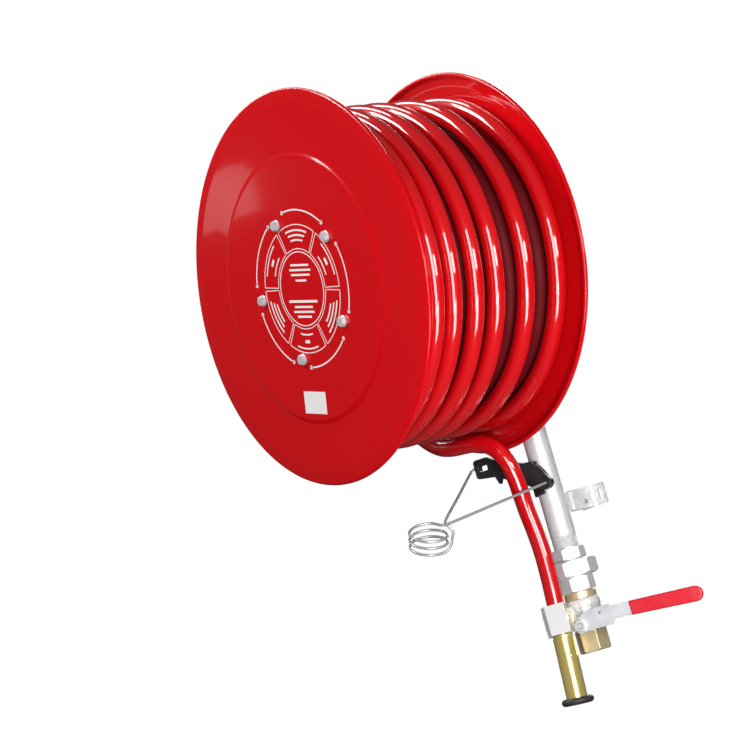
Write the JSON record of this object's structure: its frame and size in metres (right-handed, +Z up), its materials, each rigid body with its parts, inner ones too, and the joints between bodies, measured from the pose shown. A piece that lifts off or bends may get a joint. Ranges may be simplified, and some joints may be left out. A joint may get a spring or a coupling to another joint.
{
  "type": "fire hose reel",
  "caption": "Wall-mounted fire hose reel: a hose drum turning on a water-fed spindle, with ball valve, lever, held nozzle and swinging wire hose guide.",
  "frame": {"origin": "on the wall, at the flat of the lower bracket's right foot, between its bend and its slot, at the slot's middle height", "axes": "+Y into the wall, out of the back of the feet; +Z up along the riser; +X to the right, seen from the front disc"},
  "size_m": [0.5696, 0.4197, 0.9563],
  "materials": {
    "red_paint": "glossy",
    "red_rubber": "satin",
    "galvanised": "zinc coated",
    "chrome": "polished",
    "brass": "turned, nickel tint",
    "steel": "zinc plated",
    "black_plastic": "moulded",
    "black_rubber": "matte",
    "red_vinyl": "dipped",
    "white_plastic": "moulded"
  },
  "bodies": {
    "frame": {"riser_pipe": "galvanised", "valve_body": "chrome", "spindle": "steel", "union_tail_upper": "galvanised", "hose_tail": "red_rubber", "valve_inlet": "brass", "union_tail_lower": "galvanised", "valve_nipple": "brass", "union_nut": "galvanised", "upper_ball_seat": "white_plastic", "lower_ball_seat": "white_plastic", "nozzle_coupling": "brass", "packing_nut": "steel", "riser_cap": "black_plastic", "upper_bracket_right": "galvanised", "upper_bracket_left": "galvanised", "lower_bracket_right": "galvanised", "lower_bracket_left": "galvanised", "retaining_ring": "steel", "union_gasket": "black_rubber", "hose_ferrule": "brass", "nozzle_holder_plate": "steel", "stem_packing": "white_plastic", "nozzle_holder_strap": "chrome", "upper_bracket_tab": "galvanised", "lower_bracket_tab": "galvanised"},
    "drum": {"drum_barrel": "red_paint", "front_disc": "red_paint", "rear_disc": "red_paint", "drum_hub": "brass", "rear_flange": "galvanised", "front_bush": "white_plastic", "rear_bush": "white_plastic", "thrust_washer": "white_plastic", "front_seal": "black_rubber", "rear_seal": "black_rubber", "feed_pipe": "brass", "hose_core": "red_rubber", "hose_winding": "red_rubber", "front_bolt_1": "steel", "front_bolt_2": "steel", "front_bolt_3": "steel", "front_bolt_4": "steel", "front_bolt_5": "steel", "rear_bolt_1": "steel", "rear_bolt_2": "steel", "rear_bolt_3": "steel", "rear_bolt_4": "steel", "rear_bolt_5": "steel"},
    "valve_lever": {"lever": "steel", "lever_sleeve": "red_vinyl", "lever_nut": "steel", "valve_stem": "steel", "valve_ball": "chrome"},
    "hose_guide": {"guide_arm": "black_plastic", "wire_guide": "steel"},
    "nozzle": {"nozzle_barrel": "brass", "nozzle_tip": "black_rubber"}
  },
  "joints": [
    {"name": "drum_spin", "type": "hinge", "parent": "frame", "child": "drum", "pos_m": [-0.0116, -0.404, 0.3805], "axis": [0, 1, 0], "continuous": true, "deforming": ["hose_tail"]},
    {"name": "valve_lever_turn", "type": "hinge", "parent": "frame", "child": "valve_lever", "pos_m": [-0.0116, -0.078, -0.1822], "axis": [-0.6157, 0.788, 0], "range_deg": [0, 90]},
    {"name": "nozzle_twist", "type": "hinge", "parent": "frame", "child": "nozzle", "pos_m": [-0.00884, -0.13422, -0.21012], "axis": [-0.0412, -0.0322, -0.9986], "range_deg": [0, 270]},
    {"name": "guide_swivel", "type": "hinge", "parent": "frame", "child": "hose_guide", "pos_m": [-0.0116, -0.078, 0.0435], "axis": [0, 0, 1], "range_deg": [-20, 20], "deforming": ["hose_tail"]}
  ]
}
